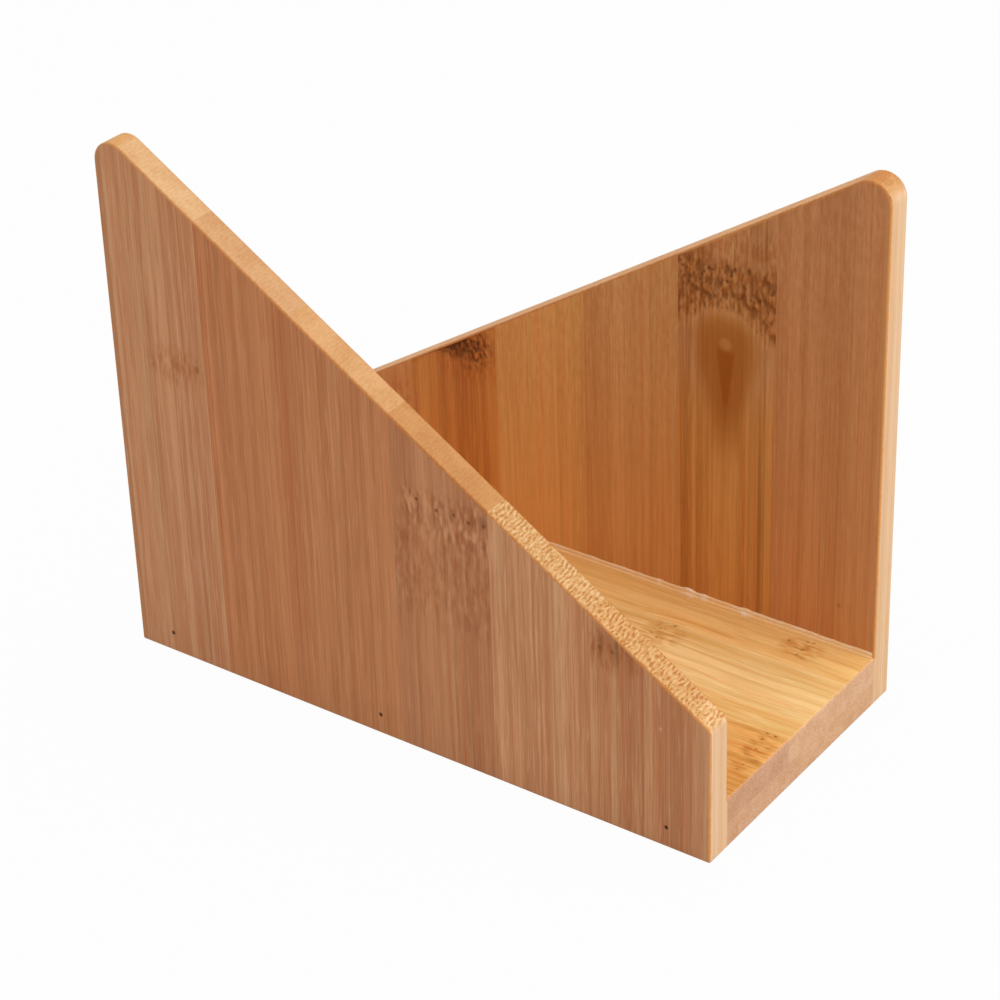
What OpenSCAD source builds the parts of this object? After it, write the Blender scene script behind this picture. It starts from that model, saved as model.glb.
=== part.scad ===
// Bamboo holder for napkins or filter papers, open at both ends.
//
// A side board is one layer of flat bamboo staves, glued edge to edge with the grain
// upright. Its top slopes from a tall rounded corner down to a low one. The front and
// back boards are the same board, the back one turned end for end, so that the tall
// corners stand at opposite ends. The base between them is two plies of staves that
// run lengthwise, with their seams staggered. The side boards are glued against the
// base's long edges and pinned with brads, and the outside is sanded flush.
//
// Millimetres. X runs along the boards, Y from the front board to the back one, and Z
// up. The origin is the centre of the underside.

/* [Holder] */
// Length of the holder, along the boards
holder_l = 155; // [120:1:200]
// Width over both side boards
holder_w = 75; // [55:1:110]
// Height of the tall corners
tall_h = 126.5; // [90:0.5:160]
// Height of the low corners
low_h = 33; // [25:0.5:60]
// Radius of the rounded tall corners
corner_r = 5; // [2:0.5:12]

/* [Boards] */
// Thickness of a side board
side_t = 6.7; // [5:0.1:9]
// Thickness of the base's upper ply
upper_t = 6.2; // [4:0.1:8]
// Thickness of the base's lower ply
lower_t = 6.2; // [4:0.1:8]
// Chamfer sanded on each exposed edge
arris = 0.4; // [0.1:0.1:1]

/* [Staves] */
// Number of staves across a side board
side_staves = 8; // [4:1:12]
// What trimming left of the stave at a side board's tall end
side_first_w = 1.8; // [1:0.1:18]
// What trimming left of the stave at a side board's low end
side_last_w = 4.4; // [1:0.1:18]
// Number of staves across the base's upper ply
upper_staves = 3; // [2:1:6]
// What trimming left of the upper ply's stave at the back
upper_first_w = 12.2; // [2:0.1:18]
// Number of staves across the base's lower ply
lower_staves = 4; // [3:1:6]
// What trimming left of the lower ply's stave at the back
lower_first_w = 7.6; // [2:0.1:18]
// What trimming left of the lower ply's stave at the front
lower_last_w = 4.4; // [2:0.1:18]

/* [Brads] */
// Diameter of a brad's shank
brad_d = 0.8; // [0.6:0.1:1.6]
// Length of a brad over all
brad_l = 20; // [14:0.5:25]
// Diameter of a brad's head
brad_head_d = 1.1; // [1:0.1:2]
// Thickness of a brad's head
brad_head_t = 0.6; // [0.3:0.1:1]
// Length of a brad's point
brad_point_l = 1.2; // [0.5:0.1:3]
// How far a brad's head is set below the board's face
brad_set = 0.4; // [0.1:0.1:1]
// Height of the brads above the underside
brad_z = 5; // [2:0.1:7]
// From a side board's tall end to its first brad
brad_tall_gap = 9.8; // [5:0.1:20]
// From the middle of a side board to its middle brad, towards the tall end
brad_offset = 7.6; // [0:0.1:12]
// From a side board's low end to its last brad
brad_low_gap = 10.7; // [5:0.1:20]

/* [Hidden] */
$fn = 48;

// The base fills the room between the side boards
base_w = holder_w - 2 * side_t;
base_t = upper_t + lower_t;

// Radial room of a driven brad in its hole
brad_room = 0.01;
// How far a cutting shape passes the wood
past = 0.5;
// The rounding's circle stands this far outside the straight edges, and so crosses them
crossing = 0.001;

// A side board's corners, from the centre of its tall corner's rounding: x towards the
// low end, y up. Both edges of the tall corner run edge_r from that centre.
edge_r = corner_r - crossing;
tall_foot = [-edge_r, corner_r - tall_h];
low_foot = tall_foot + [holder_l, 0];
low_corner = low_foot + [0, low_h];
slope = atan2(-low_corner.y, low_corner.x) + asin(edge_r / norm(low_corner));
tall_corner = edge_r * [-1, (1 + sin(slope)) / cos(slope)];

// The brads of a side board, from its tall end
brad_places = [brad_tall_gap, holder_l / 2 - brad_offset, holder_l - brad_low_gap];

// A board's first edge, its seams and its last edge. Trimming narrows the outer staves,
// or leaves the last one whole, and the whole staves share the rest of the width.
function seams(width, staves, first_w, last_w = 0) =
    let (whole = staves - (last_w > 0 ? 2 : 1), whole_w = (width - first_w - last_w) / whole)
    [0, for (i = [0 : staves - 2]) first_w + i * whole_w, width];

side_seams = seams(holder_l, side_staves, side_first_w, side_last_w);
upper_seams = seams(base_w, upper_staves, upper_first_w);
lower_seams = seams(base_w, lower_staves, lower_first_w, lower_last_w);

// Neighbouring staves come from different culms and differ in tone
tones = ["#b98255", "#a9714a", "#b07a4e", "#c08c5c"];
module stave_color(i) {
    color(tones[i % len(tones)]) children();
}

// ---- Brads ----

// A brad along -Z with the top of its head at z = 0, or the hole it makes, which is
// wider by room and stays open for open_l above the head
module brad(room = 0, open_l = 0) {
    shank_l = brad_l - brad_point_l;
    translate([0, 0, -brad_head_t])
        cylinder(d = brad_head_d + 2 * room, h = brad_head_t + open_l);
    translate([0, 0, -shank_l])
        cylinder(d = brad_d + 2 * room, h = shank_l);
    translate([0, 0, -brad_l])
        cylinder(d1 = 0, d2 = brad_d + 2 * room, h = brad_point_l);
}

// What a side board's brads hold, or their holes, in that board's own frame
module side_brads(room = 0, open_l = 0) {
    for (x = brad_places)
        translate([x, brad_z, side_t - brad_set]) brad(room, open_l);
}

module brad_holes() {
    side_brads(room = brad_room, open_l = brad_set + past);
}

// ---- Side boards ----

// Outline of a side board while its tall corner is still sharp
module side_outline() {
    polygon([
        tall_foot + [arris, 0],
        low_foot - [arris, 0],
        low_foot + [0, arris],
        low_corner - [0, arris],
        low_corner + arris * [-cos(slope), sin(slope)],
        tall_corner,
        tall_foot + [0, arris]
    ]);
}

// Takes off the arris from p to q, where the wood lies to the right of that line and
// above z = 0
module straight_arris(p, q) {
    run = q - p;
    translate([p.x, p.y, 0])
        rotate([90, 0, atan2(run.y, run.x) + 90])
            linear_extrude(norm(run)) polygon([
                [past, -past],
                [past, arris + past],
                [-arris - past, -past]
            ]);
}

// The straight arrises of one face, clockwise, where they stand clear above foot
module face_arrises(foot) {
    straight_arris(tall_foot + [0, foot], tall_corner);
    straight_arris(tall_corner, low_corner);
    straight_arris(low_corner, low_foot + [0, foot]);
}

// Rounds the tall corner and takes off its arrises: what a turned cutter sweeps, from
// one edge of the corner to the other
module round_cut() {
    far_r = norm(tall_corner) + past;
    intersection() {
        rotate_extrude() polygon([
            [far_r, -past],
            [corner_r - arris - past, -past],
            [corner_r, arris],
            [corner_r, side_t - arris],
            [corner_r - arris - past, side_t + past],
            [far_r, side_t + past]
        ]);
        translate([0, 0, -2 * past]) linear_extrude(side_t + 4 * past) polygon(2 * [
            [0, 0],
            edge_r * [sin(slope), cos(slope)],
            tall_corner,
            [-edge_r, 0]
        ]);
    }
}

// A side board before it is pinned. The base covers the inner face up to its own top,
// so that stretch keeps its edges.
module board_blank() {
    difference() {
        linear_extrude(side_t) side_outline();
        face_arrises(foot = base_t);
        translate([0, 0, side_t]) mirror([0, 0, 1]) {
            face_arrises(foot = 0);
            straight_arris(low_foot, tall_foot);
        }
        round_cut();
    }
}

// A side board in its own frame: x from the tall end, y up, the inner face at z = 0
module side_board() {
    difference() {
        translate([-tall_foot.x, -tall_foot.y, 0]) board_blank();
        brad_holes();
    }
}

module side_stave(i) {
    stave_color(i) intersection() {
        side_board();
        translate([side_seams[i - 1], -past, -past])
            cube([side_seams[i] - side_seams[i - 1], tall_h + 2 * past, side_t + 2 * past]);
    }
}

// Stands a side board's frame up against the base's front edge
module at_front() {
    translate([-holder_l / 2, -base_w / 2, 0]) rotate([90, 0, 0]) children();
}

// The same board against the back edge, turned end for end
module at_back() {
    rotate([0, 0, 180]) at_front() children();
}

// ---- Base ----

// The whole base: its end arrises are sanded with the side boards'
module base_blank() {
    half = holder_l / 2;
    rotate([90, 0, 0]) linear_extrude(base_w, center = true) polygon([
        [arris - half, 0],
        [half - arris, 0],
        [half, arris],
        [half, base_t - arris],
        [half - arris, base_t],
        [arris - half, base_t],
        [-half, base_t - arris],
        [-half, arris]
    ]);
}

// Stave i of a ply, counted from the back, from z = floor_z up
module base_stave(i, ply_seams, floor_z, ply_t) {
    stave_color(i + 1) difference() {
        intersection() {
            base_blank();
            translate([-holder_l / 2 - past, base_w / 2 - ply_seams[i], floor_z])
                cube([holder_l + 2 * past, ply_seams[i] - ply_seams[i - 1], ply_t]);
        }
        at_front() brad_holes();
        at_back() brad_holes();
    }
}

// ---- Assembly ----

for (i = [1 : side_staves]) {
    at_front() side_stave(i);
    at_back() side_stave(i);
}

for (i = [1 : upper_staves])
    base_stave(i, upper_seams, lower_t, upper_t);

for (i = [1 : lower_staves])
    base_stave(i, lower_seams, 0, lower_t);

color("#5b5650") at_front() side_brads();  // front_brads
color("#5b5650") at_back() side_brads();  // back_brads
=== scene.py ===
import math
import random

import bmesh
import bpy
from mathutils import Matrix, Vector, kdtree, noise


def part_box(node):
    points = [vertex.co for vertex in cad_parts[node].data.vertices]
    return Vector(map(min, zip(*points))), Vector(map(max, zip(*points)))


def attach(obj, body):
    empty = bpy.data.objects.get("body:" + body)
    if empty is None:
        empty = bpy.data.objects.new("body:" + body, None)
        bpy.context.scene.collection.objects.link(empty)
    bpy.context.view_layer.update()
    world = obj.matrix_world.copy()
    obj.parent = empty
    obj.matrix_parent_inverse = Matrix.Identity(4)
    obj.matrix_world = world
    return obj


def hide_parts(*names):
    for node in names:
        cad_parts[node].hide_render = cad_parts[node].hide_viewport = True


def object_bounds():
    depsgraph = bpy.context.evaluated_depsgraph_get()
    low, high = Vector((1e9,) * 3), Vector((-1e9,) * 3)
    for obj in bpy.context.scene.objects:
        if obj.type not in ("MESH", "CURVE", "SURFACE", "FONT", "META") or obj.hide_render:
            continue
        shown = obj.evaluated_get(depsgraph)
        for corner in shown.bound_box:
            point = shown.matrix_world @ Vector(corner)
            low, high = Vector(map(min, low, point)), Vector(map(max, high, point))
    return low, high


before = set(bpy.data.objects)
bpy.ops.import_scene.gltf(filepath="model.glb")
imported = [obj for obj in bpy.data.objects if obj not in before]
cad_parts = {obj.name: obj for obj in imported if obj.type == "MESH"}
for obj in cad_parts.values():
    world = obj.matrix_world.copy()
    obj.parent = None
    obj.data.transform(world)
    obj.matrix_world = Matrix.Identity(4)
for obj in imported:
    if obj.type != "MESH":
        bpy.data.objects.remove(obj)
low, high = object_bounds()

# ---- Camera ----
# The holder is seen from above the front board's low corner. The lens is long, so the
# boards' upright edges stay nearly parallel.

lens = bpy.data.cameras.new("camera")
lens.sensor_width = 36
lens.lens = 106.01
lens.shift_x = -0.0365
lens.shift_y = -0.0964
camera = bpy.data.objects.new("camera", lens)
camera.location = (0.33223, -0.45069, 0.3766)
camera.rotation_euler = (math.radians(61.101), math.radians(1.289), math.radians(34.867))
bpy.context.scene.collection.objects.link(camera)
bpy.context.scene.camera = camera

# ---- Front side board ----
# Eight flat bamboo staves, glued edge to edge with the grain upright, then sawn to one
# profile and sanded. Its tall corner is rounded, and its edges are eased by hand sanding.
# The staves come from different culms, so they differ in tone and in where a knuckle falls.

mm = 0.001
board_l = high.x - low.x
tall_h = high.z
low_h = 33 * mm
corner_r = 5 * mm
worn_r = 1.3 * mm
arris = 0.55 * mm
outer_y = low.y
inner_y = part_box("front_stave_2")[1].y
base_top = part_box("base_upper_stave_1")[1].z

# Points this near are at one place, and a cut that passes this close to a point meets it
near = 0.1 * mm
snap = 0.01 * mm

# The slope touches the rounding and runs down to the low corner
arc_centre = Vector((low.x + corner_r, outer_y, tall_h - corner_r))
low_corner = Vector((high.x, outer_y, low_h))
run = low_corner - arc_centre
slope = math.atan2(-run.z, run.x) + math.asin(corner_r / run.length)

# What is noted at a shape's points for its material: how strongly each of these shows
# Two tints also carry painted shade: the blush, and a greying tint that is nothing else;
# together they darken and grey some back staves towards their tops
tints = ("stain", "scar", "blush_and_shade", "pale", "painted_grey_shade", "eased")


def new_blank():
    """An empty shape with room for the tints at its points."""
    blank = bmesh.new()
    for name in tints:
        blank.verts.layers.float.new(name)
    return blank


def front_blank():
    """The front board before it is parted into its staves, with its edges eased."""
    blank = new_blank()
    touch = arc_centre + corner_r * Vector((math.sin(slope), 0, math.cos(slope)))
    first = blank.verts.new(touch)
    bmesh.ops.spin(blank, geom=[first], cent=arc_centre, axis=(0, -1, 0),
                   angle=math.pi / 2 + slope, steps=24)
    for corner in ((low.x, outer_y, 0), (high.x, outer_y, 0), low_corner):
        blank.verts.new(corner)
    outline = blank.faces.new(blank.verts)
    wall = bmesh.ops.extrude_face_region(blank, geom=[outline])["geom"]
    bmesh.ops.translate(blank, vec=(0, inner_y - outer_y, 0),
                        verts=[piece for piece in wall if isinstance(piece, bmesh.types.BMVert)])
    bmesh.ops.recalc_face_normals(blank, faces=blank.faces)
    bmesh.ops.bisect_plane(blank, geom=blank.verts[:] + blank.edges[:] + blank.faces[:],
                           plane_co=(0, 0, base_top), plane_no=(0, 0, 1))
    worn = [edge for edge in blank.edges
            if all((v.co - low_corner).xz.length < near for v in edge.verts)]
    bmesh.ops.bevel(blank, geom=worn, offset=worn_r, segments=4, profile=0.5, affect="EDGES",
                    material=-1)
    # The base covers the inner face below its own top, so that stretch stays sharp
    covered = [edge for edge in blank.edges
               if all(v.co.y > inner_y - near and v.co.z < base_top + near
                      for v in edge.verts)]
    sharp = math.radians(30)
    eased = [edge for edge in blank.edges
             if edge.calc_face_angle() > sharp and edge not in covered]
    rounded = bmesh.ops.bevel(blank, geom=eased, offset=arris, segments=5, profile=0.5,
                              affect="EDGES", material=-1)
    strips = set(rounded["faces"])
    layer = blank.verts.layers.float["eased"]
    for v in rounded["verts"]:
        v[layer] = all(face in strips for face in v.link_faces)
    return blank


def direction(axis):
    """The unit vector along an axis, given by its number."""
    return Vector([float(i == axis) for i in range(3)])


def part(board, axis, start, stop):
    """A copy of the board, cut off at both places along an axis, with its cuts closed."""
    stave = board.copy()
    along = direction(axis)
    for place, outward in ((start, -along), (stop, along)):
        whole = stave.verts[:] + stave.edges[:] + stave.faces[:]
        cut = bmesh.ops.bisect_plane(stave, geom=whole, dist=snap, plane_co=along * place,
                                     plane_no=outward, clear_outer=True)["geom_cut"]
        # A cut along the board's own end opens nothing
        rim = [piece for piece in cut if isinstance(piece, bmesh.types.BMEdge)]
        if rim and all(edge.is_boundary for edge in rim):
            bmesh.ops.edgeloop_fill(stave, edges=rim)
    bmesh.ops.recalc_face_normals(stave, faces=stave.faces)
    return stave


# Cells for the relief of the faces that are seen first, and of the other ones
fine_cell = 0.25 * mm
wide_cell = 0.4 * mm


def fine_cells(stave, facing, corner, opposite, cell=fine_cell, longer=1):
    """Cuts a flat face of a stave into cells between two corners, and gives their points.
    Cells on a side board may be longer along the grain."""
    facing = Vector(facing)
    level = Vector(corner).dot(facing)
    picked = [face for face in stave.faces if face.normal.dot(facing) > 0.99
              and abs(face.calc_center_median().dot(facing) - level) < snap]
    for axis in (2, 1, 0):
        if facing[axis]:
            continue
        along = direction(axis)
        width = opposite[axis] - corner[axis]
        cuts = round(width / cell / (longer if axis == 2 else 1))
        geom = list({piece for face in picked for piece in (*face.verts, *face.edges, face)})
        for i in range(cuts + 1):
            place = along * (corner[axis] + width * i / cuts)
            geom = bmesh.ops.bisect_plane(stave, geom=geom, dist=snap, plane_co=place,
                                          plane_no=along)["geom"]
        picked = [piece for piece in geom if isinstance(piece, bmesh.types.BMFace)
                  and corner[axis] < piece.calc_center_median()[axis] < opposite[axis]]
    return list({v for face in picked for v in face.verts})


def press(stave, points, facing, marks):
    """Presses soft marks into a face: each has a place, half its width across the grain,
    half its length along it, a depth and a darkness."""
    stain = stave.verts.layers.float["stain"]
    facing = Vector(facing)
    tree = kdtree.KDTree(len(points))
    for i, v in enumerate(points):
        tree.insert(v.co, i)
    tree.balance()
    for place, half_w, half_l, depth, dark in marks:
        place = Vector(place)
        # Other relief may have moved the points a little off the face
        reach = max(half_w, half_l) * 1.02 + depth
        for _, i, _ in tree.find_range(place, reach):
            off = points[i].co - place
            across = off.x if facing.y else off.y
            along = off.z if facing.y else off.x
            share = 1 - (across / half_w) ** 2 - (along / half_l) ** 2
            if share > 0:
                points[i].co -= facing * depth * share
                points[i][stain] = max(points[i][stain], dark * min(1, share * 1.6))


def dents(face_y, marks):
    """Marks for press() on a side board, given in millimetres: each one's place from the
    holder's left end and underside, half its width and length, its depth and darkness."""
    return [((low.x + x * mm, face_y, z * mm), half_w * mm, half_l * mm, depth * mm, dark)
            for x, z, half_w, half_l, depth, dark in marks]


def ease(value, start, stop):
    """Goes smoothly from 0 at start to 1 at stop, which may be the smaller of the two."""
    share = min(1, max(0, (value - start) / (stop - start)))
    return share * share * (3 - 2 * share)


def gnarl(stave, points, facing, where, seed, depth, dark, light, across, along,
          open_share):
    """Roughens a knuckle, where its fibres tangle: teeth stand between hollows. The teeth get
    a pale painted highlight, as strong as light, and the hollows a dark tint, as strong as
    dark, partly the knuckle's own dark fibres and partly painted shade. The noise has so
    many waves a metre across the grain, and so many along it."""
    stain = stave.verts.layers.float["stain"]
    teeth = stave.verts.layers.float["pale"]
    facing = Vector(facing)
    for v in points:
        share = where(v.co)
        if share <= 0:
            continue
        u, w = (v.co.x, v.co.z) if facing.y else (v.co.y, v.co.x)
        broad = noise.noise(Vector((u * across, seed, w * along)))
        fine = noise.noise(Vector((u * across * 2.1, seed + 5, w * along * 2.3)))
        level = broad + 0.45 * fine
        hollow = share * min(1, max(0, open_share - 2 * level))
        tooth = share * min(1, max(0, 2.5 * level - 0.3))
        v.co -= facing * depth * (hollow + 0.4 * (share - tooth))
        # Painted shade in the hollows, on top of the knuckle's own dark fibres, and a painted
        # highlight on the teeth
        v[stain] = max(v[stain], dark * hollow)
        v[teeth] = max(v[teeth], light * tooth)


def tint(stave, points, name, amount):
    """Notes how strongly a tint shows at each point, from a function of its place."""
    layer = stave.verts.layers.float[name]
    for v in points:
        v[layer] = max(v[layer], min(1, amount(v.co)))


def soft_spot(x, z, half_w, half_l):
    """A tint's strength: 1 in the middle of an oval on a side board, fading to 0. It is
    given in millimetres, from the holder's left end and underside."""
    x, z, half_w, half_l = low.x + x * mm, z * mm, half_w * mm, half_l * mm
    return lambda co: max(0, 1 - ((co.x - x) / half_w) ** 2 - ((co.z - z) / half_l) ** 2)


def new_finish(name):
    """A new material without its nodes as yet, and its node tree."""
    finish = bpy.data.materials.new(name)
    finish.use_nodes = True
    finish.node_tree.nodes.clear()
    return finish, finish.node_tree


def add(tree, kind, sockets=None, **settings):
    """Adds a node with its settings, and with a value or a link for each socket."""
    made = tree.nodes.new(kind)
    for name, value in settings.items():
        setattr(made, name, value)
    for socket, value in (sockets or {}).items():
        if isinstance(value, bpy.types.NodeSocket):
            tree.links.new(value, made.inputs[socket])
        else:
            made.inputs[socket].default_value = value
    return made


def blended(tree, factor, first, second, blend="MIX"):
    """Mixes two colours, given as values or sockets, and returns the result's socket."""
    colours = {6: first if isinstance(first, bpy.types.NodeSocket) else (*first, 1),
               7: second if isinstance(second, bpy.types.NodeSocket) else (*second, 1)}
    return add(tree, "ShaderNodeMix", {0: factor, **colours}, data_type="RGBA",
               blend_type=blend).outputs[2]


def ranged(tree, value, start, stop, out_start=0.0, out_stop=1.0):
    """Maps a value smoothly from one range to another, and returns the result's socket."""
    return add(tree, "ShaderNodeMapRange",
               {0: value, 1: start, 2: stop, 3: out_start, 4: out_stop},
               interpolation_type="SMOOTHSTEP").outputs[0]


def maths(tree, operation, first, second=0.0):
    """Works out one sum of two values or sockets, and returns the result's socket."""
    return add(tree, "ShaderNodeMath", {0: first, 1: second}, operation=operation).outputs[0]


def painted(tree, name):
    """The socket of a tint that was noted at the shape's points."""
    return add(tree, "ShaderNodeAttribute", attribute_name=name).outputs["Fac"]


def toned(colour, red, green, blue):
    """A colour with its red, green and blue scaled."""
    return (colour[0] * red, colour[1] * green, colour[2] * blue)


scar_brown = (0.35, 0.095, 0.009)
pit_brown = (0.155, 0.046, 0.004)


def bamboo(name, pale, deep, end, edge, shift, coarse, lively, upright=True,
           waves=0.1 * mm):
    """Sanded bamboo as solid fibre along the grain, which is upright or lengthwise: streaks
    on the faces, and cut fibres on the end grain. A narrow edge is paler than a face.
    Coarse is how torn the end grain is, and lively how strongly single fibres show."""
    finish, tree = new_finish(name)
    coords = add(tree, "ShaderNodeTexCoord")

    # The pattern's own Z runs along the grain. Each stave takes another part of it, and
    # its lines wander a little.
    turn = (0, 0, 0) if upright else (0, math.radians(-90), 0)
    straight = add(tree, "ShaderNodeMapping",
                   {0: coords.outputs["Object"],
                    1: (shift * 0.31, shift * 0.17, shift * 0.53), 2: turn}).outputs[0]

    def stretched(place, across, along):
        return add(tree, "ShaderNodeVectorMath", {0: place, 1: (across, across, along)},
                   operation="MULTIPLY").outputs[0]

    # So many waves a metre across the grain, and so many along it
    def grainy(place, across, along, detail=2.0):
        return add(tree, "ShaderNodeTexNoise",
                   {0: stretched(place, across, along), "Scale": 1, "Detail": detail,
                    "Roughness": 0.55}).outputs[0]

    wander = grainy(straight, 30, 7) if upright else grainy(straight, 45, 18)
    wander = maths(tree, "MULTIPLY", maths(tree, "SUBTRACT", wander, 0.5), 10 * waves)
    wander = add(tree, "ShaderNodeCombineXYZ", {0: wander, 1: wander}).outputs[0]
    fibres = add(tree, "ShaderNodeVectorMath", {0: straight, 1: wander},
                 operation="ADD").outputs[0]

    bands = grainy(fibres, 110, 2)
    streaks = grainy(fibres, 480, 4, detail=3)
    grey_fibres = grainy(fibres, 700, 5)
    red_fibres = grainy(fibres, 820, 6)
    lines = grainy(fibres, 1500, 5)
    flecks = grainy(fibres, 1800, 85)
    threads = grainy(fibres, 3000, 36)
    bundles = add(tree, "ShaderNodeTexVoronoi", {0: stretched(fibres, 1150, 14), "Scale": 1,
                                                 "Randomness": 0.85}).outputs[0]

    tone = maths(tree, "ADD", ranged(tree, bands, 0.3, 0.7, -0.5, 0.5),
                 ranged(tree, streaks, 0.3, 0.7))
    face = blended(tree, tone, deep, pale)
    for fibre, share in ((lines, 0.4 * lively), (flecks, 0.42 * lively)):
        face = blended(tree, ranged(tree, fibre, 0.54, 0.7, 0, share), face,
                       toned(pale, 1.13, 1.25, 1.45))
        face = blended(tree, ranged(tree, fibre, 0.46, 0.3, 0, share), face,
                       toned(deep, 0.84, 0.76, 0.7))
    # Threads and bundles are darker. Some fibres are redder, and some a little greyer.
    for fibre, start, stop, share, shade in (
            (threads, 0.55, 0.35, 0.3, (0.8, 0.7, 0.62)),
            (bundles, 0.3, 0.08, 0.2, (0.75, 0.64, 0.54)),
            (red_fibres, 0.52, 0.68, 0.8, (1.04, 0.91, 0.83)),
            (grey_fibres, 0.48, 0.32, 0.8, (0.99, 1.08, 1.12))):
        face = blended(tree, ranged(tree, fibre, start, stop, 0, share * lively), face, shade,
                       "MULTIPLY")
    # Painted shade: greyer and cooler where its tint was noted, towards the tops of some back
    # staves
    face = blended(tree, painted(tree, "painted_grey_shade"), face, (0.94, 0.98, 1.45), "MULTIPLY")

    # End grain: cut fibre bundles. A coarse saw tore them in rows across the board.
    rows_place = add(tree, "ShaderNodeMapping",
                     {0: straight, 2: (0, 0, math.radians(-4 if upright else 50))}).outputs[0]
    rows = add(tree, "ShaderNodeTexWave",
               {0: rows_place, "Scale": (0.4 if upright else 0.7) / mm, "Distortion": 7,
                "Detail": 2, "Detail Scale": 0.9}).outputs[1]
    crumbs_place = add(tree, "ShaderNodeVectorMath", {0: rows_place, 1: (2100, 850, 700)},
                       operation="MULTIPLY").outputs[0]
    crumbs = add(tree, "ShaderNodeTexNoise", {0: crumbs_place, "Scale": 1,
                                              "Detail": 2}).outputs[0]
    torn = maths(tree, "ADD", maths(tree, "MULTIPLY", rows, 0.38),
                 ranged(tree, crumbs, 0.32, 0.68, 0, 0.62))
    ends = blended(tree, ranged(tree, grainy(straight, 160, 40), 0.35, 0.65),
                   toned(end, 0.95, 0.9, 0.83), toned(end, 1.04, 1.05, 1.07))
    ends = blended(tree, ranged(tree, torn, 0.52, 0.8, 0, 0.1 + 0.65 * coarse), ends,
                   toned(end, 1.2, 1.42, 1.9))
    ends = blended(tree, ranged(tree, torn, 0.42, 0.14, 0, 0.1 + 0.8 * coarse), ends,
                   toned(end, 0.74, 0.52, 0.33))

    # Which way the surface faces decides what shows. An eased edge is a deeper orange, and
    # so is the level top of a side board's rounding.
    facing = add(tree, "ShaderNodeSeparateXYZ", {0: coords.outputs["Normal"]})
    cut = maths(tree, "ABSOLUTE", facing.outputs["Z" if upright else "X"])
    side = maths(tree, "ABSOLUTE", facing.outputs["X" if upright else "Y"])
    rim = blended(tree, ranged(tree, cut, 0.1, 0.3), toned(edge, 0.96, 0.64, 0.3),
                  toned(end, 0.87, 0.61, 0.35))
    if upright:
        ends = blended(tree, ranged(tree, cut, 0.88, 0.97), ends, (0.94, 0.8, 0.57),
                       "MULTIPLY")
    cut = ranged(tree, cut, 0.2, 0.75)
    side = ranged(tree, side, 0.45, 0.9)
    edge_wood = blended(tree, ranged(tree, streaks, 0.35, 0.6), toned(edge, 0.94, 0.87, 0.78),
                        toned(edge, 1.01, 1.04, 1.08))
    edge_wood = blended(tree, ranged(tree, lines, 0.5, 0.7, 0, 0.6), edge_wood,
                        toned(edge, 1.06, 1.2, 1.45))
    edge_wood = blended(tree, ranged(tree, flecks, 0.45, 0.3, 0, 0.45), edge_wood,
                        toned(edge, 0.88, 0.72, 0.56))
    colour = blended(tree, side, face, edge_wood)
    colour = blended(tree, cut, colour, ends)
    ragged = maths(tree, "MULTIPLY", painted(tree, "eased"),
                   ranged(tree, crumbs, 0.35, 0.6, 1, 0.6))
    colour = blended(tree, ragged, colour, rim)

    # Tints of the knuckles: blushed and mottled wood, a bud's scar, pale teeth, dark pits. The
    # pale on the gnarled teeth is a painted highlight, and the dark in their hollows is partly
    # painted shade.
    mottle = ranged(tree, grainy(straight, 1050, 300, detail=1), 0.4, 0.6, 0.05, 1)
    # The blush tint is the knuckles' own blush, and on some back staves also painted shade,
    # browner towards their tops
    blush_and_shade = maths(tree, "MULTIPLY", painted(tree, "blush_and_shade"), mottle)
    colour = blended(tree, blush_and_shade, colour, (0.83, 0.67, 0.5), "MULTIPLY")
    colour = blended(tree, painted(tree, "scar"), colour, scar_brown)
    colour = blended(tree, painted(tree, "pale"), colour, toned(pale, 1.1, 1.15, 1.25))
    colour = blended(tree, painted(tree, "stain"), colour, pit_brown)

    fine = maths(tree, "ADD", maths(tree, "MULTIPLY", lines, 0.5),
                 maths(tree, "MULTIPLY", bundles, 0.5))
    relief = add(tree, "ShaderNodeMix", {0: cut, 2: fine, 3: torn}).outputs[0]
    bump = add(tree, "ShaderNodeBump", {"Strength": 0.2 + 0.5 * coarse, "Distance": 0.12 * mm,
                                        "Height": relief})
    surface = add(tree, "ShaderNodeBsdfPrincipled",
                  {"Base Color": colour, "Normal": bump.outputs[0],
                   "Roughness": ranged(tree, threads, 0.3, 0.7, 0.46, 0.6),
                   "Specular IOR Level": 0.2})
    add(tree, "ShaderNodeOutputMaterial", {0: surface.outputs[0]})
    return finish


def as_object(shape, name, finish):
    """Makes an object of a finished shape, smooth but for its sharp edges."""
    mesh = bpy.data.meshes.new(name)
    shape.to_mesh(mesh)
    shape.free()
    mesh.shade_smooth()
    mesh.set_sharp_from_angle(angle=math.radians(50))
    mesh.materials.append(finish)
    piece = bpy.data.objects.new(name, mesh)
    bpy.context.scene.collection.objects.link(piece)
    return piece


def as_piece(shape, name, finish, node):
    """Makes a stave's object. It rides on the holder and stands for its node."""
    piece = as_object(shape, name, finish)
    even = piece.modifiers.new("even shading", "WEIGHTED_NORMAL")
    even.keep_sharp = True
    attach(piece, "root")
    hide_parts(node)


def sunk_brad(stave, x, face_y, z, side):
    """Opens the ragged little pit over a brad's head that was driven below the face."""
    reach = 1.2 * mm
    points = fine_cells(stave, (0, side, 0), (x - reach, face_y, z - reach),
                        (x + reach, face_y, z + reach), cell=0.1 * mm)
    press(stave, points, (0, side, 0),
          [((x, face_y, z), 0.55 * mm, 0.6 * mm, 0.6 * mm, 1.3),
           ((x + 0.2 * mm, face_y, z - 0.15 * mm), 0.35 * mm, 0.4 * mm, 0.15 * mm, 0.7)])


# Each knuckle is worked into one face of its stave, which reaches from start to stop


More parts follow.
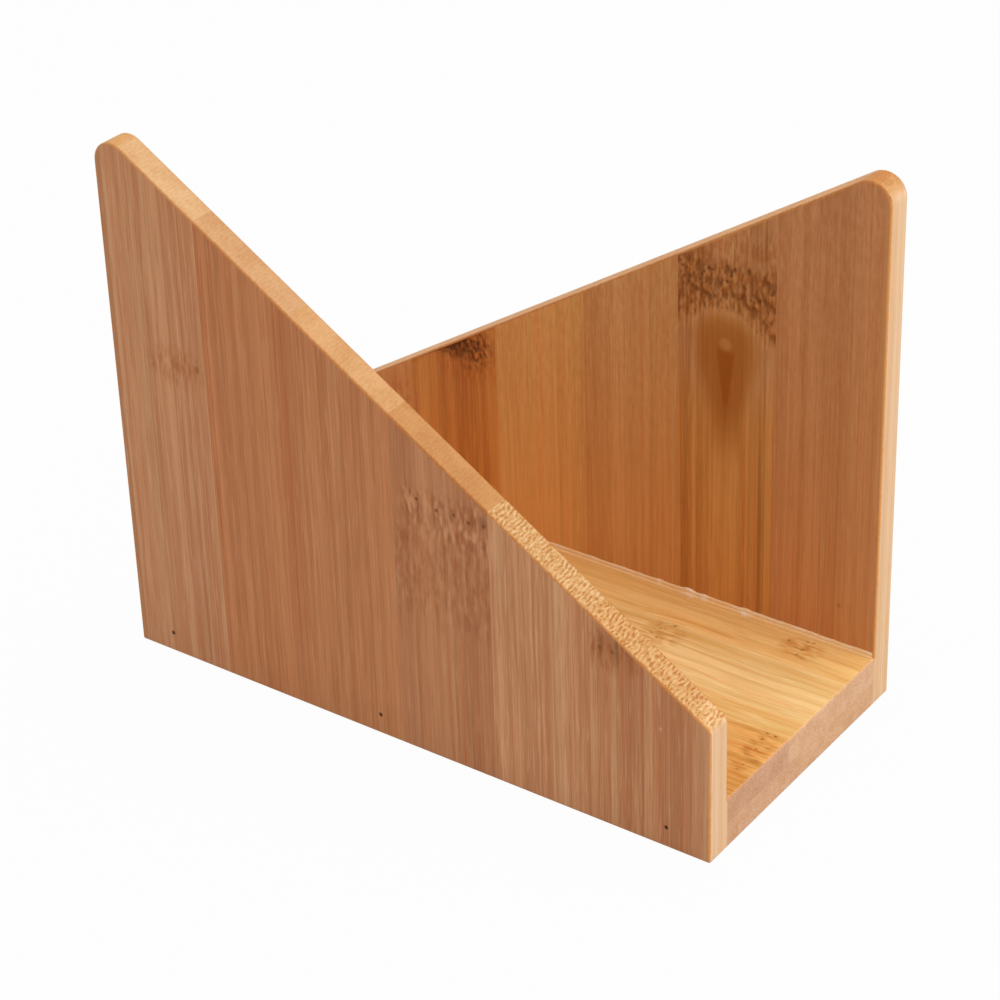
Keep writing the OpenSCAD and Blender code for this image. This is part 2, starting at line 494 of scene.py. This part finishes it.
def faint_knuckle(stave, facing, face_y, cell, start, stop):
    """A faint blush with two shallow dents."""
    points = fine_cells(stave, facing, (start + 6 * mm, face_y, 68 * mm),
                        (stop, face_y, 86 * mm), cell=1.5 * cell)
    press(stave, points, facing, dents(face_y, ((24.4, 77.8, 0.7, 1.1, 0.1, 0.35),
                                                (11.7, 75.5, 0.6, 0.9, 0.08, 0.25))))
    tint(stave, points, "blush_and_shade", soft_spot(18.5, 77, 10, 6))


def ridged_knuckle(stave, facing, face_y, cell, start, stop):
    """Short upright ridges with a row of pits, and a long soft blush below them."""
    points = fine_cells(stave, facing, (start, face_y, 26 * mm), (stop, face_y, 70 * mm),
                        cell)

    def ridged(co):
        return (ease(co.z, 54 * mm, 58 * mm) * ease(co.z, 68.5 * mm, 65 * mm)
                * ease(co.x, start + 0.5 * mm, start + 5 * mm))

    def below(co):
        return ease(co.z, 30 * mm, 40 * mm) * ease(co.z, 58 * mm, 54 * mm)

    gnarl(stave, points, facing, ridged, seed=3, depth=0.22 * mm, dark=0.33, light=0.95,
          across=1000, along=260, open_share=0.08)
    gnarl(stave, points, facing, below, seed=4, depth=0.05 * mm, dark=0.16, light=0.3,
          across=850, along=230, open_share=0.0)
    pits = ((82.7, 64.2), (87.8, 63.0), (92.2, 63.2), (96.0, 62.6), (99.8, 62.9))
    press(stave, points, facing,
          dents(face_y, [(x, z, 0.5, 0.55, 0.25, 0.75) for x, z in pits]))
    tint(stave, points, "blush_and_shade", lambda co: 0.4 * ridged(co))
    tint(stave, points, "blush_and_shade",
         lambda co: 0.6 * ease(co.z, 27 * mm, 48 * mm) * ease(co.z, 62 * mm, 54 * mm))
    tint(stave, points, "pale", soft_spot(85.1, 58, 0.8, 0.8))
    tint(stave, points, "pale", soft_spot(89.1, 63.3, 0.6, 0.8))


def brown_knuckle(stave, facing, face_y, cell, start, stop):
    """Brown streaks with two pits, close below the slope."""
    points = fine_cells(stave, facing, (start, face_y, 37 * mm),
                        (start + 16 * mm, face_y, 47 * mm), cell)
    gnarl(stave, points, facing, soft_spot(130.8, 44.5, 8, 5), seed=6, depth=0.1 * mm,
          dark=0.4, light=0.2, across=850, along=130, open_share=0.4)
    press(stave, points, facing, dents(face_y, ((128.2, 43.9, 0.5, 0.7, 0.15, 0.6),
                                                (131.4, 43.7, 0.5, 0.7, 0.15, 0.6))))
    tint(stave, points, "blush_and_shade", soft_spot(130.3, 43, 10, 5.5))
    streaked = soft_spot(130.8, 44, 9, 5)
    tint(stave, points, "scar", lambda co: 0.3 * streaked(co))


front_knuckles = {2: faint_knuckle, 5: ridged_knuckle, 7: brown_knuckle}

# The brads' height, and their places from a side board's tall end
brad_z = 5 * mm
brads_x = (9.8 * mm, 69.9 * mm, 144.3 * mm)

side_edge = (0.78, 0.49, 0.27)

# Pale and deep streaks and end grain of each stave, from the tall end
front_tones = [
    ((0.70, 0.38, 0.21), (0.56, 0.23, 0.095), (0.54, 0.28, 0.10)),
    ((0.70, 0.335, 0.158), (0.58, 0.228, 0.093), (0.605, 0.352, 0.163)),
    ((0.65, 0.263, 0.101), (0.54, 0.187, 0.065), (0.55, 0.291, 0.126)),
    ((0.66, 0.275, 0.11), (0.55, 0.202, 0.071), (0.58, 0.305, 0.124)),
    ((0.64, 0.28, 0.122), (0.525, 0.204, 0.082), (0.505, 0.237, 0.079)),
    ((0.76, 0.372, 0.177), (0.59, 0.246, 0.102), (0.58, 0.32, 0.123)),
    ((0.67, 0.315, 0.138), (0.54, 0.206, 0.083), (0.575, 0.30, 0.105)),
    ((0.67, 0.312, 0.145), (0.55, 0.216, 0.088), (0.66, 0.375, 0.15)),
]

front = front_blank()
for number, (pale, deep, end) in enumerate(front_tones, 1):
    node = f"front_stave_{number}"
    start, stop = (corner.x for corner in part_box(node))
    stave = part(front, 0, start, stop)
    if number in front_knuckles:
        for face_y, side, cell in ((outer_y, -1, fine_cell), (inner_y, 1, wide_cell)):
            front_knuckles[number](stave, (0, side, 0), face_y, cell, start, stop)
    # A single pale speck near the low end
    if number == 7:
        points = fine_cells(stave, (0, -1, 0), (low.x + 142 * mm, outer_y, 28.3 * mm),
                            (low.x + 144 * mm, outer_y, 30.3 * mm), cell=0.2 * mm)
        tint(stave, points, "pale", soft_spot(143, 29.3, 0.5, 0.6))
    for x in brads_x:
        if start < low.x + x < stop:
            sunk_brad(stave, low.x + x, outer_y, brad_z, -1)
    # The saw tore the end grain of the last three staves
    torn_end = number > 5
    wood = bamboo(f"front_bamboo_{number}", pale, deep, end, side_edge, shift=0.41 * number,
                  coarse=1.0 if torn_end else 0.1, lively=1.1 if torn_end else 0.9)
    as_piece(stave, f"front_board_stave_{number}", wood, node)
front.free()

# ---- Back side board ----
# The same board again, turned end for end, so that the tall corners stand at opposite ends.
# Its third stave has a large knuckle with a bud's scar below it.

back_inner_y = -inner_y
back_outer_y = -outer_y
bud_x = low.x + 115.9 * mm

# Places the pits of the large knuckle
dice = random.Random(43)


def scattered(middle, half_w, half_l, count, size, depth, dark):
    """Scatters pits over part of a side board's face, as marks for press()."""
    marks = []
    for _ in range(count):
        x = middle[0] + dice.uniform(-half_w, half_w)
        z = middle[2] + dice.uniform(-half_l, half_l)
        half = size * dice.uniform(0.6, 1.25)
        marks.append(((x, middle[1], z), half, half * dice.uniform(1.0, 1.8),
                      depth * dice.uniform(0.6, 1.2), dark * dice.uniform(0.6, 1)))
    return marks


def bud(co):
    """0 at the middle line of the bud's scar and 1 at its rim. It tapers downwards."""
    half = (4.6 + 3.8 * ease(co.z, 60 * mm, 80 * mm)) * mm
    beyond = max(0, co.z - 79 * mm, (56 * mm - co.z) / 3)
    return math.hypot(co.x - bud_x, beyond) / half


def crown(co):
    """The knuckle's band, which arches over the bud and reaches down on both sides."""
    beside = abs(co.x - bud_x)
    bottom = (87 - 0.55 * max(0, beside / mm - 4)) * mm
    return (ease(co.z, bottom - 2 * mm, bottom + 2 * mm) * ease(co.z, 102 * mm, 96 * mm)
            * ease(bud(co), 0.92, 1.12))


def bud_scar(co):
    """The bud's brown scar, deepest in its middle. It fades at its rim and its foot."""
    return ((0.56 + 0.3 * max(0, 1 - bud(co))) * ease(bud(co), 1.22, 0.6)
            * ease(co.z, 45 * mm, 66 * mm))


def bud_wedge(co):
    """The dark wedge that stands in the scar, widest at its top."""
    foot = 58 * mm
    if co.z < foot:
        return 0
    beside = abs(co.x - bud_x) / mm
    above = co.z / mm - 61
    return (ease(beside, 0.25 * above + 0.6, 0.1 * above) * ease(co.z, foot, 66 * mm)
            * ease(co.z, 82 * mm, 77 * mm))


def bud_eye(co):
    """The pale eye at the top of the scar."""
    return ease(math.hypot(co.x - bud_x, co.z - 79.6 * mm), 2.1 * mm, 0.8 * mm)


def bud_teeth(co):
    """A row of short teeth, 1.1 mm apart, that stands round the top of the bud."""
    return (ease(bud(co), 0.98, 1.08) * ease(bud(co), 1.5, 1.35)
            * ease(co.z, 80 * mm, 82 * mm) * ease(math.sin(co.x * 5700), -0.2, 0.6))


def dark_fibres(co):
    """Dark fibres that run down on both sides of the bud, fainter on its left."""
    right = ease(co.x, low.x + 122 * mm, low.x + 125 * mm)
    left = ease(co.x, low.x + 111 * mm, low.x + 106 * mm)
    return (ease(co.z, 88 * mm, 76 * mm) * max(right, 0.6 * left)
            * ease(noise.noise(Vector((co.x * 1400, 8.3, co.z * 12))), -0.1, 0.4))


def bud_knuckle(stave, facing, face_y, cell, start, stop):
    """The large knuckle: a tangled band full of pits, and the bud's scar below it."""
    points = fine_cells(stave, facing, (start, face_y, 44 * mm), (stop, face_y, 105 * mm),
                        cell)
    gnarl(stave, points, facing, crown, seed=11, depth=0.22 * mm, dark=0.5, light=0.35,
          across=1200, along=400, open_share=0.3)
    press(stave, points, facing,
          scattered((bud_x, face_y, 94 * mm), half_w=12 * mm, half_l=4.5 * mm, count=60,
                    size=0.55 * mm, depth=0.12 * mm, dark=0.85))
    # Painted shade: the stave greys upwards from the bud's foot, but not in its scar
    tint(stave, stave.verts, "painted_grey_shade",
         lambda co: ease(co.z, 58 * mm, 80 * mm) * ease(bud(co), 0.7, 1.2))
    tint(stave, points, "blush_and_shade",
         lambda co: ease(co.z, 78 * mm, 88 * mm) * ease(bud(co), 0.9, 1.2))
    tint(stave, points, "scar", lambda co: 0.4 * crown(co))
    tint(stave, points, "scar", bud_scar)
    tint(stave, points, "pale", lambda co: 0.32 * bud_eye(co))
    tint(stave, points, "pale", lambda co: 0.45 * bud_teeth(co))
    points += fine_cells(stave, facing, (start, face_y, 13 * mm), (stop, face_y, 44 * mm),
                         cell, longer=16)
    tint(stave, points, "stain", lambda co: 0.35 * dark_fibres(co))
    tint(stave, points, "scar", bud_wedge)


def burnt_knuckle(stave, facing, face_y, cell, start, stop):
    """A knuckle at the slope, nearly black, in browned wood."""
    points = fine_cells(stave, facing, (low.x + 33 * mm, face_y, 46 * mm),
                        (stop, face_y, 66 * mm), cell)
    burnt = soft_spot(40.5, 59.5, 9, 5)
    charred = soft_spot(47.5, 60, 6.5, 7.5)
    gnarl(stave, points, facing, burnt, seed=22, depth=0.2 * mm, dark=1.5, light=0,
          across=950, along=700, open_share=0.75)
    gnarl(stave, points, facing, charred, seed=27, depth=0.15 * mm, dark=1.1, light=0.3,
          across=1150, along=700, open_share=0.3)
    tint(stave, points, "stain", lambda co: 0.6 * burnt(co))
    tint(stave, points, "scar", lambda co: 0.45 * charred(co))
    tint(stave, points, "blush_and_shade", soft_spot(46, 58, 13, 10))


def dented_knuckle(stave, facing, face_y, cell, start, stop):
    """A dark dent in a small blush."""
    points = fine_cells(stave, facing, (low.x + 22 * mm, face_y, 38 * mm),
                        (stop, face_y, 46 * mm), cell)
    press(stave, points, facing, dents(face_y, [(29.8, 40.8, 0.5, 0.6, 0.15, 0.7)]))
    tint(stave, points, "blush_and_shade", soft_spot(26.5, 42.5, 5, 4))


def dark_speck(stave, facing, face_y, cell, start, stop):
    """A single faint speck."""
    points = fine_cells(stave, facing, (low.x + 143 * mm, face_y, 20 * mm),
                        (low.x + 148 * mm, face_y, 25 * mm), cell)
    press(stave, points, facing, dents(face_y, [(145.6, 23, 0.6, 0.7, 0.1, 0.28)]))


back_knuckles = {2: dark_speck, 3: bud_knuckle, 6: burnt_knuckle, 7: dented_knuckle}

# Painted shade: how much browner and greyer some staves are painted towards their tops
browner_shade = {2: 0.4, 4: 0.4, 5: 0.4}
greyer_shade = {2: 0.25, 4: 0.25}

# Pale and deep streaks of each stave, from the tall end
back_end = (0.58, 0.29, 0.105)
back_tones = [
    ((0.64, 0.285, 0.105), (0.56, 0.235, 0.08)),
    ((0.63, 0.271, 0.095), (0.54, 0.217, 0.071)),
    ((0.655, 0.29, 0.077), (0.47, 0.178, 0.037)),
    ((0.69, 0.336, 0.111), (0.602, 0.277, 0.084)),
    ((0.772, 0.404, 0.13), (0.678, 0.337, 0.103)),
    ((0.70, 0.31, 0.077), (0.53, 0.192, 0.038)),
    ((0.70, 0.322, 0.108), (0.60, 0.252, 0.078)),
    ((0.66, 0.29, 0.10), (0.57, 0.235, 0.075)),
]

back = front_blank()
bmesh.ops.rotate(back, verts=back.verts, cent=(0, 0, 0),
                 matrix=Matrix.Rotation(math.pi, 3, "Z"))
for number, (pale, deep) in enumerate(back_tones, 1):
    node = f"back_stave_{number}"
    start, stop = (corner.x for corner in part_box(node))
    stave = part(back, 0, start, stop)
    if number in back_knuckles:
        for face_y, side, cell in ((back_inner_y, -1, fine_cell),
                                   (back_outer_y, 1, wide_cell)):
            back_knuckles[number](stave, (0, side, 0), face_y, cell, start, stop)
    # Painted shade, browner and greyer towards the tops of these staves
    for name, shares in (("blush_and_shade", browner_shade), ("painted_grey_shade", greyer_shade)):
        if number in shares:
            tint(stave, stave.verts, name,
                 lambda co: shares[number] * ease(co.z, 20 * mm, 90 * mm))
    for x in brads_x:
        if start < high.x - x < stop:
            sunk_brad(stave, high.x - x, back_outer_y, brad_z, 1)
    wood = bamboo(f"back_bamboo_{number}", pale, deep, back_end, side_edge,
                  shift=5 + 0.37 * number, coarse=0.1, lively=0.7)
    as_piece(stave, f"back_board_stave_{number}", wood, node)
back.free()

# ---- Base ----
# Two plies of bamboo staves that run lengthwise, glued face to face with their seams
# staggered, and sanded with the side boards at both ends.

base = new_blank()
bmesh.ops.create_cube(base, size=1)
bmesh.ops.scale(base, vec=(board_l, 2 * back_inner_y, base_top), verts=base.verts)
bmesh.ops.translate(base, vec=(0, 0, base_top / 2), verts=base.verts)
end_edges = [edge for edge in base.edges
             if (edge.verts[0].co - edge.verts[1].co).xz.length < near]
bmesh.ops.bevel(base, geom=end_edges, offset=arris, segments=3, profile=0.5, affect="EDGES",
                material=-1)

base_edge = (0.75, 0.42, 0.16)

# Pale and deep streaks and end grain of each stave, from the back
base_tones = {
    "base_upper_stave": [((0.88, 0.53, 0.19), (0.74, 0.38, 0.10), (0.68, 0.39, 0.21)),
                         ((0.88, 0.595, 0.262), (0.735, 0.415, 0.124), (0.68, 0.39, 0.21)),
                         ((0.78, 0.41, 0.12), (0.575, 0.25, 0.046), (0.585, 0.312, 0.171))],
    "base_lower_stave": [((0.80, 0.47, 0.17), (0.66, 0.33, 0.09), (0.67, 0.38, 0.20)),
                         ((0.82, 0.50, 0.18), (0.68, 0.36, 0.10), (0.66, 0.37, 0.19)),
                         ((0.78, 0.44, 0.15), (0.64, 0.31, 0.08), (0.655, 0.37, 0.205)),
                         ((0.80, 0.48, 0.17), (0.66, 0.33, 0.09), (0.615, 0.335, 0.175))],
}

# Knuckles on the upper ply, in millimetres from the holder's left end and from its middle
# line: the middle of each, its half width and length, and its pits
base_knuckles = {
    1: ((139.5, 25.2), (5.0, 6.0),
        ((139.4, 28.6), (140.7, 28.9), (139.6, 25.3), (139.7, 23.1), (135.5, 27.0))),
    2: ((110.5, 14.0), (6.5, 6.0),
        ((110.7, 19.3), (111.1, 18.1), (108.8, 15.6), (110.0, 12.0), (107.9, 13.2))),
    3: ((150.8, -13.0), (10.0, 3.4),
        ((149.8, -6.1), (151.8, -6.3), (149.9, -8.6), (150.6, -12.4), (151.2, -18.6),
         (151.0, -20.6))),
}


def base_knuckle(stave, number, front_y, back_y):
    """A mottled oval with a few pits, on a stave that reaches from front_y to back_y."""
    (x, y), (half_w, half_l), pits = base_knuckles[number]
    x, y, half_w, half_l = low.x + x * mm, y * mm, half_w * mm, half_l * mm
    up = (0, 0, 1)
    points = fine_cells(stave, up, (x - half_l, max(y - half_w, front_y), base_top),
                        (min(x + half_l, high.x - arris), min(y + half_w, back_y), base_top))

    def swirl(co):
        return max(0, 1 - ((co.x - x) / half_l) ** 2 - ((co.y - y) / half_w) ** 2)

    gnarl(stave, points, up, swirl, seed=30 + number, depth=0.12 * mm, dark=0.15,
          light=0.15, across=700, along=330, open_share=0.1)
    press(stave, points, up,
          [((low.x + px * mm, py * mm, base_top), 0.42 * mm, 0.5 * mm, 0.15 * mm, 0.5)
           for px, py in pits])
    tint(stave, points, "blush_and_shade", lambda co: 1.5 * swirl(co))


for ply, tones in base_tones.items():
    upper = ply == "base_upper_stave"
    for number, (pale, deep, end) in enumerate(tones, 1):
        node = f"{ply}_{number}"
        stave_low, stave_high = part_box(node)
        layer = part(base, 2, stave_low.z, stave_high.z)
        stave = part(layer, 1, stave_low.y, stave_high.y)
        layer.free()
        if upper:
            base_knuckle(stave, number, stave_low.y, stave_high.y)
        wood = bamboo(f"{ply}_bamboo_{number}", pale, deep, end, base_edge, upright=False,
                      shift=9 + 0.43 * number + (0 if upper else 2), coarse=0.2,
                      lively=1.1 if number == 3 else 0.7, waves=0.45 * mm)
        as_piece(stave, f"{ply}_piece_{number}", wood, node)
base.free()

# ---- Brads ----
# Six headed steel brads, driven through the side boards into the base and set just
# below the face. The steel has gone dark.

steel, tree = new_finish("dark_steel")
coords = add(tree, "ShaderNodeTexCoord")
tarnish = add(tree, "ShaderNodeTexNoise", {0: coords.outputs["Object"], "Scale": 2500,
                                           "Detail": 2}).outputs[0]
surface = add(tree, "ShaderNodeBsdfPrincipled",
              {"Base Color": blended(tree, tarnish, (0.05, 0.03, 0.02), (0.12, 0.08, 0.05)),
               "Metallic": 0.6, "Roughness": ranged(tree, tarnish, 0.3, 0.7, 0.4, 0.65)})
add(tree, "ShaderNodeOutputMaterial", {0: surface.outputs[0]})
for node in ("front_brads", "back_brads"):
    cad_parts[node].data.materials.clear()
    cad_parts[node].data.materials.append(steel)

# ---- Dried glue ----
# White glue was squeezed out where the base meets the back board. Smeared along the
# corner and full of wood dust, it dried as a low hollow fillet with a pale upper edge and
# a few whiter blobs. Sanding the holder's ends cut it off flush.

# The fillet's width and unevenness, in millimetres, and its height for each of width
fillet_w = 0.9
fillet_lump = 0.12
fillet_rise = 1.45

# In millimetres, each blob's place from the holder's left end, half length and height
blobs = ((106.8, 1.3, 0.28), (111, 0.8, 0.12), (122, 1.4, 0.18), (99, 0.7, 0.1))

dusty_glue = (0.87, 0.54, 0.22)
milky_glue = (0.93, 0.80, 0.64)
sanded_glue = (0.66, 0.38, 0.20)

bead = bmesh.new()
milky = bead.verts.layers.float.new("pale")
bmesh.ops.create_cone(bead, cap_ends=True, segments=24, radius1=1, radius2=1,
                      depth=board_l - 2 * arris)
bmesh.ops.rotate(bead, verts=bead.verts, cent=(0, 0, 0),
                 matrix=Matrix.Rotation(math.pi / 2, 3, "Y"))
long_edges = [edge for edge in bead.edges
              if abs(edge.verts[0].co.x - edge.verts[1].co.x) > near]
bmesh.ops.subdivide_edges(bead, edges=long_edges, cuts=420)
for v in bead.verts:
    blob = sum(height * math.exp(-((v.co.x - low.x - place * mm) / (half_l * mm)) ** 2)
               for place, half_l, height in blobs)
    lump = (noise.noise(Vector((v.co.x * 250, 3.7, 0)))
            + 0.5 * noise.noise(Vector((v.co.x * 900, 9.1, 0))))
    hollow = 0.55 + 0.45 * abs(v.co.z ** 2 - v.co.y ** 2)
    radius = ((fillet_w + fillet_lump * lump) * hollow + blob) * mm
    v[milky] = min(1, 3.5 * blob + 0.35 * ease(v.co.z, 0.45, 0.9))
    v.co.y *= radius
    v.co.z *= fillet_rise * radius
bmesh.ops.translate(bead, verts=bead.verts, vec=(0, back_inner_y, base_top))
bmesh.ops.recalc_face_normals(bead, faces=bead.faces)

glue, tree = new_finish("dried_glue")
coords = add(tree, "ShaderNodeTexCoord")
cloud = add(tree, "ShaderNodeTexNoise", {0: coords.outputs["Object"], "Scale": 500,
                                         "Detail": 3}).outputs[0]
milkiness = maths(tree, "MULTIPLY", painted(tree, "pale"),
                  ranged(tree, cloud, 0.4, 0.6, 0.3, 1))
colour = blended(tree, milkiness, dusty_glue, milky_glue)
facing = add(tree, "ShaderNodeSeparateXYZ", {0: coords.outputs["Normal"]})
colour = blended(tree, ranged(tree, facing.outputs["X"], 0.4, 0.8), colour, sanded_glue)
surface = add(tree, "ShaderNodeBsdfPrincipled",
              {"Base Color": colour, "Roughness": ranged(tree, cloud, 0.3, 0.7, 0.4, 0.6),
               "Specular IOR Level": 0.2})
add(tree, "ShaderNodeOutputMaterial", {0: surface.outputs[0]})
glue_bead = as_object(bead, "glue_bead", glue)
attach(glue_bead, "root")

# ---- Floor and light ----
# A plain pale floor that runs into a white surround, large soft lamps above the holder
# and on its right, and even light from all round.


def backdrop_seen(tree):
    """1 for a ray that shows the backdrop itself: straight on, in a gloss or through glass."""
    rays = add(tree, "ShaderNodeLightPath").outputs
    seen = maths(tree, "MAXIMUM", rays["Is Camera Ray"], rays["Is Glossy Ray"])
    return maths(tree, "MAXIMUM", seen, rays["Is Transmission Ray"])


paper, tree = new_finish("white_paper")
matt = add(tree, "ShaderNodeBsdfDiffuse", {"Color": (0.5, 0.5, 0.5, 1)})
white = add(tree, "ShaderNodeEmission", {"Strength": 1})
lifted = add(tree, "ShaderNodeMixShader",
             {0: maths(tree, "MULTIPLY", backdrop_seen(tree), 0.97),
              1: matt.outputs[0], 2: white.outputs[0]})
add(tree, "ShaderNodeOutputMaterial", {0: lifted.outputs[0]})
ground = bmesh.new()
bmesh.ops.create_circle(ground, cap_ends=True, segments=64, radius=4)
floor = as_object(ground, "floor", paper)

world = bpy.data.worlds.new("surround")
bpy.context.scene.world = world
world.use_nodes = True
tree = world.node_tree
tree.nodes.clear()
even_light = add(tree, "ShaderNodeBackground", {"Color": (1, 1, 1, 1), "Strength": 0.7})
white = add(tree, "ShaderNodeBackground", {"Color": (1, 1, 1, 1), "Strength": 1})
sky = add(tree, "ShaderNodeMixShader", {0: backdrop_seen(tree), 1: even_light.outputs[0],
                                        2: white.outputs[0]})
add(tree, "ShaderNodeOutputWorld", {0: sky.outputs[0]})

lit_place = Vector((0, 0, 0.05))
for name, place, size, energy in (("lamp_above", (0.1, 0.15, 1.5), 1.4, 11),
                                  ("lamp_right", (1.4, 0.2, 0.55), 1.0, 8)):
    lamp_data = bpy.data.lights.new(name, "AREA")
    lamp_data.shape = "DISK"
    lamp_data.size = size
    lamp_data.energy = energy
    lamp = bpy.data.objects.new(name, lamp_data)
    lamp.location = place
    lamp.rotation_euler = (lit_place - lamp.location).to_track_quat("-Z", "Y").to_euler()
    bpy.context.scene.collection.objects.link(lamp)

bpy.context.scene.view_settings.view_transform = "Standard"
